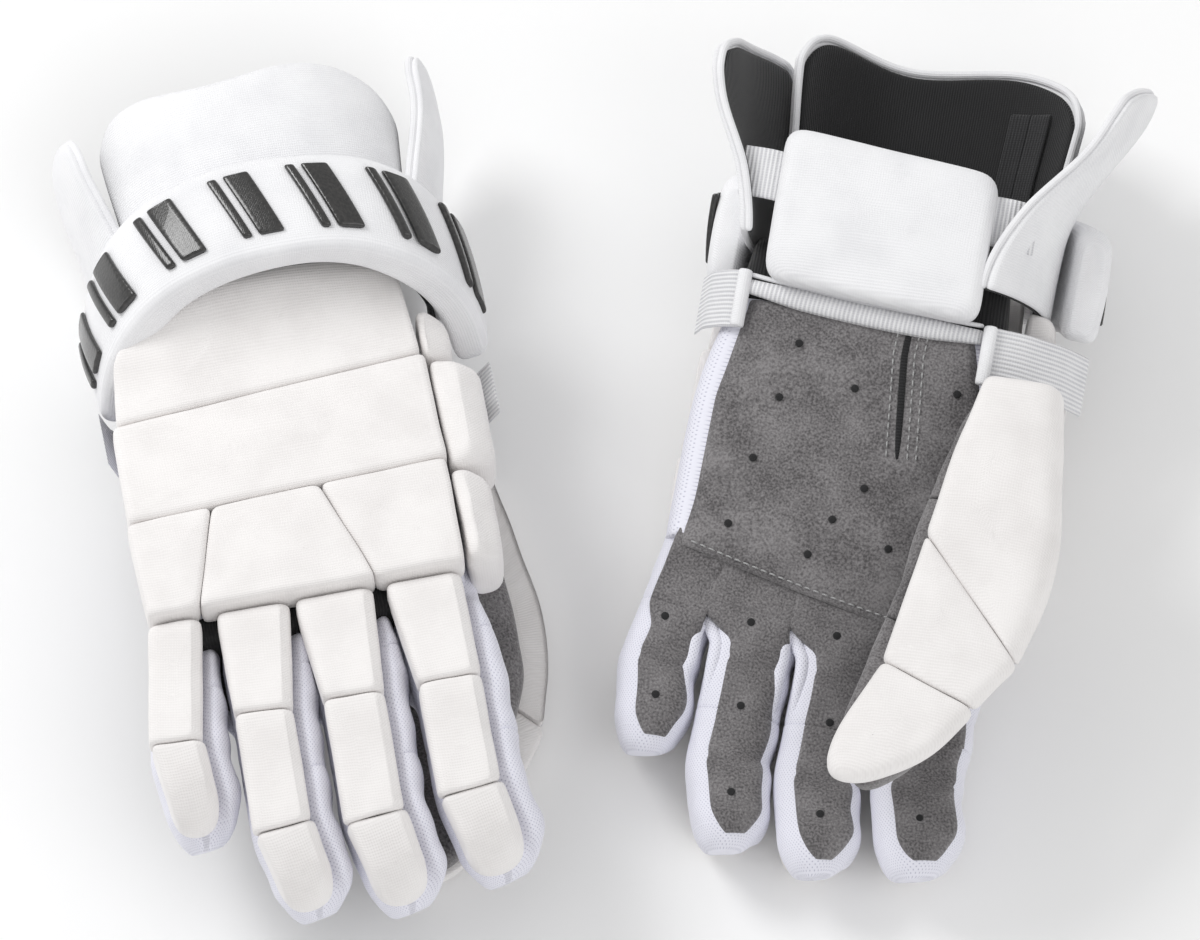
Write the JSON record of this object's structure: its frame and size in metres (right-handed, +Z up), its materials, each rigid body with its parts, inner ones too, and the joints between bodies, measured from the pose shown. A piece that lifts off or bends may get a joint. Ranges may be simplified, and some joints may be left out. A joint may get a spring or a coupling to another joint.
{
  "type": "hockey gloves",
  "caption": "Pair of padded white sports gloves with segmented finger pads, a grey suede palm, a rolled cuff and a padded wrist guard, one palm down and one palm up.",
  "frame": {"origin": "centre of the pair's footprint, on the surface that the gloves lie on", "axes": "+X from the palm-down glove to the palm-up glove, -Y towards the fingertips, +Z up"},
  "size_m": [0.411, 0.3743, 0.1062],
  "materials": {
    "pad_knit": "fine warm white knit over foam",
    "cuff_knit": "smooth bright white knit over foam",
    "sleeve_mesh": "white perforated mesh with a cool tint",
    "palm_suede": "mottled grey synthetic suede with punched holes",
    "black_lining": "black brushed knit lining",
    "white_webbing": "ribbed white webbing and elastic",
    "black_gloss": "raised glossy black rubber print"
  },
  "bodies": {
    "right_hand": {"right_palm_panel": "palm_suede", "right_palm_welt": "white_webbing", "right_backhand_liner": "black_lining", "right_hand_gussets": "sleeve_mesh", "right_backhand_wrist_pad": "pad_knit", "right_backhand_wide_pad": "pad_knit", "right_knuckle_pad_little": "pad_knit", "right_knuckle_pad_centre": "pad_knit", "right_knuckle_pad_index": "pad_knit", "right_side_roll_pads": "pad_knit"},
    "right_cuff": {"right_cuff_roll": "pad_knit", "right_cuff_back_flap": "black_lining", "right_cuff_side_flaps": "black_lining", "right_cuff_straps": "white_webbing", "right_wrist_elastic": "white_webbing"},
    "right_wrist_guard": {"right_wrist_pad": "pad_knit"},
    "right_index_base_segment": {"right_index_base": "pad_knit"},
    "right_index_mid_segment": {"right_index_mid": "pad_knit"},
    "right_index_tip_segment": {"right_index_tip": "pad_knit"},
    "right_middle_base_segment": {"right_middle_base": "pad_knit"},
    "right_middle_mid_segment": {"right_middle_mid": "pad_knit"},
    "right_middle_tip_segment": {"right_middle_tip": "pad_knit"},
    "right_ring_base_segment": {"right_ring_base": "pad_knit"},
    "right_ring_mid_segment": {"right_ring_mid": "pad_knit"},
    "right_ring_tip_segment": {"right_ring_tip": "pad_knit"},
    "right_little_base_segment": {"right_little_base": "pad_knit"},
    "right_little_tip_segment": {"right_little_tip": "pad_knit"},
    "right_thumb_base_segment": {"right_thumb_base": "pad_knit"},
    "right_thumb_mid_segment": {"right_thumb_mid": "pad_knit"},
    "right_thumb_tip_segment": {"right_thumb_tip": "pad_knit"},
    "left_hand": {"left_palm_panel": "palm_suede", "left_palm_welt": "white_webbing", "left_backhand_liner": "black_lining", "left_hand_gussets": "sleeve_mesh", "left_backhand_wrist_pad": "pad_knit", "left_backhand_wide_pad": "pad_knit", "left_knuckle_pad_little": "pad_knit", "left_knuckle_pad_centre": "pad_knit", "left_knuckle_pad_index": "pad_knit", "left_side_roll_pads": "pad_knit"},
    "left_cuff": {"left_cuff_roll": "pad_knit", "left_cuff_back_flap": "black_lining", "left_cuff_side_flaps": "black_lining", "left_cuff_straps": "white_webbing", "left_wrist_elastic": "white_webbing"},
    "left_wrist_guard": {"left_wrist_pad": "pad_knit"},
    "left_index_base_segment": {"left_index_base": "pad_knit"},
    "left_index_mid_segment": {"left_index_mid": "pad_knit"},
    "left_index_tip_segment": {"left_index_tip": "pad_knit"},
    "left_middle_base_segment": {"left_middle_base": "pad_knit"},
    "left_middle_mid_segment": {"left_middle_mid": "pad_knit"},
    "left_middle_tip_segment": {"left_middle_tip": "pad_knit"},
    "left_ring_base_segment": {"left_ring_base": "pad_knit"},
    "left_ring_mid_segment": {"left_ring_mid": "pad_knit"},
    "left_ring_tip_segment": {"left_ring_tip": "pad_knit"},
    "left_little_base_segment": {"left_little_base": "pad_knit"},
    "left_little_tip_segment": {"left_little_tip": "pad_knit"},
    "left_thumb_base_segment": {"left_thumb_base": "pad_knit"},
    "left_thumb_mid_segment": {"left_thumb_mid": "pad_knit"},
    "left_thumb_tip_segment": {"left_thumb_tip": "pad_knit"}
  },
  "joints": [
    {"name": "right_index_knuckle", "type": "hinge", "parent": "right_hand", "child": "right_index_base_segment", "pos_m": [-0.06444, -0.05565, 0.05477], "axis": [0.9716, 0.2365, -0.0057], "range_deg": [0, 45], "stiffness_Nm_per_rad": 1},
    {"name": "right_index_middle_joint", "type": "hinge", "parent": "right_index_base_segment", "child": "right_index_mid_segment", "pos_m": [-0.05464, -0.09581, 0.05838], "axis": [0.9836, 0.1804, -0.0007], "range_deg": [0, 40.5], "stiffness_Nm_per_rad": 0.3},
    {"name": "right_index_end_joint", "type": "hinge", "parent": "right_index_mid_segment", "child": "right_index_tip_segment", "pos_m": [-0.04781, -0.13305, 0.05507], "axis": [0.9109, 0.4121, 0.0204], "range_deg": [0, 22.5], "stiffness_Nm_per_rad": 0.12},
    {"name": "right_middle_knuckle", "type": "hinge", "parent": "right_hand", "child": "right_middle_base_segment", "pos_m": [-0.0985, -0.06227, 0.05477], "axis": [0.9816, 0.1908, 0], "range_deg": [0, 45], "stiffness_Nm_per_rad": 1},
    {"name": "right_middle_middle_joint", "type": "hinge", "parent": "right_middle_base_segment", "child": "right_middle_mid_segment", "pos_m": [-0.09061, -0.10285, 0.05839], "axis": [0.9863, 0.1651, 0.0023], "range_deg": [0, 40.5], "stiffness_Nm_per_rad": 0.3},
    {"name": "right_middle_end_joint", "type": "hinge", "parent": "right_middle_mid_segment", "child": "right_middle_tip_segment", "pos_m": [-0.08369, -0.14411, 0.05473], "axis": [0.9171, 0.3979, 0.0233], "range_deg": [0, 22.5], "stiffness_Nm_per_rad": 0.12},
    {"name": "right_ring_knuckle", "type": "hinge", "parent": "right_hand", "child": "right_ring_base_segment", "pos_m": [-0.12893, -0.06818, 0.05477], "axis": [0.9942, 0.1069, 0.0104], "range_deg": [0, 65], "stiffness_Nm_per_rad": 1},
    {"name": "right_ring_middle_joint", "type": "hinge", "parent": "right_ring_base_segment", "child": "right_ring_mid_segment", "pos_m": [-0.12455, -0.10929, 0.05837], "axis": [0.9868, 0.162, 0.0056], "range_deg": [0, 58.5], "stiffness_Nm_per_rad": 0.3},
    {"name": "right_ring_end_joint", "type": "hinge", "parent": "right_ring_mid_segment", "child": "right_ring_tip_segment", "pos_m": [-0.11807, -0.14861, 0.05489], "axis": [0.9183, 0.395, 0.0265], "range_deg": [0, 32.5], "stiffness_Nm_per_rad": 0.12},
    {"name": "right_little_knuckle", "type": "hinge", "parent": "right_hand", "child": "right_little_base_segment", "pos_m": [-0.15838, -0.07391, 0.05477], "axis": [0.9996, 0.0187, 0.0212], "range_deg": [0, 65], "stiffness_Nm_per_rad": 1},
    {"name": "right_little_end_joint", "type": "hinge", "parent": "right_little_base_segment", "child": "right_little_tip_segment", "pos_m": [-0.15759, -0.12023, 0.05874], "axis": [0.9612, 0.2759, -0.0016], "range_deg": [0, 58.5], "stiffness_Nm_per_rad": 0.3},
    {"name": "right_thumb_root", "type": "hinge", "parent": "right_hand", "child": "right_thumb_base_segment", "pos_m": [-0.05528, 0.01938, 0.01673], "axis": [0.9938, 0.1115, 0.0028], "range_deg": [0, 54], "stiffness_Nm_per_rad": 0.8},
    {"name": "right_thumb_middle_joint", "type": "hinge", "parent": "right_thumb_base_segment", "child": "right_thumb_mid_segment", "pos_m": [-0.04548, -0.06802, 0.01979], "axis": [-0.9937, 0.1113, -0.0104], "range_deg": [0, 9], "stiffness_Nm_per_rad": 0.3},
    {"name": "right_thumb_end_joint", "type": "hinge", "parent": "right_thumb_mid_segment", "child": "right_thumb_tip_segment", "pos_m": [-0.0495, -0.10378, 0.02099], "axis": [-0.9743, 0.2247, -0.0142], "range_deg": [0, 9], "stiffness_Nm_per_rad": 0.12},
    {"name": "right_cuff_tilt", "type": "hinge", "parent": "right_hand", "child": "right_cuff", "pos_m": [-0.12727, 0.02811, 0.02608], "axis": [-0.9816, -0.1908, 0], "range_deg": [0, 12], "stiffness_Nm_per_rad": 2.5},
    {"name": "right_wrist_pad_lift", "type": "hinge", "parent": "right_cuff", "child": "right_wrist_guard", "pos_m": [-0.12461, 0.03015, 0.02186], "axis": [-0.9816, -0.1908, 0], "range_deg": [0, 25], "stiffness_Nm_per_rad": 0.4},
    {"name": "left_index_knuckle", "type": "hinge", "parent": "left_hand", "child": "left_index_base_segment", "pos_m": [0.12969, -0.042, 0.04034], "axis": [-0.9917, 0.128, -0.0094], "range_deg": [0, 45], "stiffness_Nm_per_rad": 1},
    {"name": "left_index_middle_joint", "type": "hinge", "parent": "left_index_base_segment", "child": "left_index_mid_segment", "pos_m": [0.12454, -0.08248, 0.03279], "axis": [-0.9829, 0.1839, 0.0011], "range_deg": [0, 40.5], "stiffness_Nm_per_rad": 0.3},
    {"name": "left_index_end_joint", "type": "hinge", "parent": "left_index_mid_segment", "child": "left_index_tip_segment", "pos_m": [0.11761, -0.11951, 0.02783], "axis": [-0.9979, -0.0573, -0.0305], "range_deg": [0, 22.5], "stiffness_Nm_per_rad": 0.12},
    {"name": "left_middle_knuckle", "type": "hinge", "parent": "left_hand", "child": "left_middle_base_segment", "pos_m": [0.09552, -0.03597, 0.04034], "axis": [-0.9848, 0.1736, 0], "range_deg": [0, 45], "stiffness_Nm_per_rad": 1},
    {"name": "left_middle_middle_joint", "type": "hinge", "parent": "left_middle_base_segment", "child": "left_middle_mid_segment", "pos_m": [0.08844, -0.07616, 0.03278], "axis": [-0.98, 0.1989, 0.0048], "range_deg": [0, 40.5], "stiffness_Nm_per_rad": 0.3},
    {"name": "left_middle_end_joint", "type": "hinge", "parent": "left_middle_mid_segment", "child": "left_middle_tip_segment", "pos_m": [0.08013, -0.11696, 0.0273], "axis": [-0.9988, -0.042, -0.0269], "range_deg": [0, 22.5], "stiffness_Nm_per_rad": 0.12},
    {"name": "left_ring_knuckle", "type": "hinge", "parent": "left_hand", "child": "left_ring_base_segment", "pos_m": [0.06499, -0.03059, 0.04034], "axis": [-0.9667, 0.2554, 0.017], "range_deg": [0, 65], "stiffness_Nm_per_rad": 1},
    {"name": "left_ring_middle_joint", "type": "hinge", "parent": "left_ring_base_segment", "child": "left_ring_mid_segment", "pos_m": [0.05444, -0.07001, 0.03281], "axis": [-0.9794, 0.202, 0.0069], "range_deg": [0, 58.5], "stiffness_Nm_per_rad": 0.3},
    {"name": "left_ring_end_joint", "type": "hinge", "parent": "left_ring_mid_segment", "child": "left_ring_tip_segment", "pos_m": [0.04639, -0.10885, 0.02759], "axis": [-0.9989, -0.0388, -0.0249], "range_deg": [0, 32.5], "stiffness_Nm_per_rad": 0.12},
    {"name": "left_little_knuckle", "type": "hinge", "parent": "left_hand", "child": "left_little_base_segment", "pos_m": [0.03545, -0.02538, 0.04034], "axis": [-0.9403, 0.3386, 0.0346], "range_deg": [0, 65], "stiffness_Nm_per_rad": 1},
    {"name": "left_little_end_joint", "type": "hinge", "parent": "left_little_base_segment", "child": "left_little_tip_segment", "pos_m": [0.01968, -0.06832, 0.03201], "axis": [-0.996, 0.088, -0.0129], "range_deg": [0, 58.5], "stiffness_Nm_per_rad": 0.3},
    {"name": "left_thumb_root", "type": "hinge", "parent": "left_hand", "child": "left_thumb_base_segment", "pos_m": [0.16457, 0.0216, 0.08391], "axis": [-0.9678, 0.2516, 0.0091], "range_deg": [0, 54], "stiffness_Nm_per_rad": 0.8},
    {"name": "left_thumb_middle_joint", "type": "hinge", "parent": "left_thumb_base_segment", "child": "left_thumb_mid_segment", "pos_m": [0.14248, -0.063, 0.07398], "axis": [0.8881, -0.4583, -0.0339], "range_deg": [0, 9], "stiffness_Nm_per_rad": 0.3},
    {"name": "left_thumb_end_joint", "type": "hinge", "parent": "left_thumb_mid_segment", "child": "left_thumb_tip_segment", "pos_m": [0.12596, -0.09474, 0.07009], "axis": [0.8295, -0.5566, -0.046], "range_deg": [0, 9], "stiffness_Nm_per_rad": 0.12},
    {"name": "left_cuff_tilt", "type": "hinge", "parent": "left_hand", "child": "left_cuff", "pos_m": [0.10061, 0.05621, 0.07634], "axis": [0.9848, -0.1736, 0], "range_deg": [0, 12], "stiffness_Nm_per_rad": 2.5},
    {"name": "left_wrist_pad_lift", "type": "hinge", "parent": "left_cuff", "child": "left_wrist_guard", "pos_m": [0.10376, 0.05683, 0.08066], "axis": [0.9848, -0.1736, 0], "range_deg": [0, 25], "stiffness_Nm_per_rad": 0.4},
    {"name": "pair_spacing", "type": "slide", "parent": "right_hand", "child": "left_hand", "axis": [1, 0, 0], "range_m": [0, 0.12]}
  ],
  "couplings": [
    {"joint": "right_index_middle_joint", "follows": "right_index_knuckle", "ratio": 0.9},
    {"joint": "right_index_end_joint", "follows": "right_index_knuckle", "ratio": 0.5},
    {"joint": "right_middle_knuckle", "follows": "right_index_knuckle", "ratio": 1},
    {"joint": "right_middle_middle_joint", "follows": "right_index_knuckle", "ratio": 0.9},
    {"joint": "right_middle_end_joint", "follows": "right_index_knuckle", "ratio": 0.5},
    {"joint": "right_ring_end_joint", "follows": "right_ring_middle_joint", "ratio": 0.5555},
    {"joint": "right_thumb_root", "follows": "right_index_knuckle", "ratio": 1.2},
    {"joint": "right_thumb_middle_joint", "follows": "right_index_knuckle", "ratio": 0.2},
    {"joint": "right_thumb_end_joint", "follows": "right_index_knuckle", "ratio": 0.2},
    {"joint": "left_index_middle_joint", "follows": "left_index_knuckle", "ratio": 0.9},
    {"joint": "left_index_end_joint", "follows": "left_index_knuckle", "ratio": 0.5},
    {"joint": "left_middle_knuckle", "follows": "left_index_knuckle", "ratio": 1},
    {"joint": "left_middle_middle_joint", "follows": "left_index_knuckle", "ratio": 0.9},
    {"joint": "left_middle_end_joint", "follows": "left_index_knuckle", "ratio": 0.5},
    {"joint": "left_ring_end_joint", "follows": "left_ring_middle_joint", "ratio": 0.5555},
    {"joint": "left_thumb_root", "follows": "left_index_knuckle", "ratio": 1.2},
    {"joint": "left_thumb_middle_joint", "follows": "left_index_knuckle", "ratio": 0.2},
    {"joint": "left_thumb_end_joint", "follows": "left_index_knuckle", "ratio": 0.2}
  ]
}
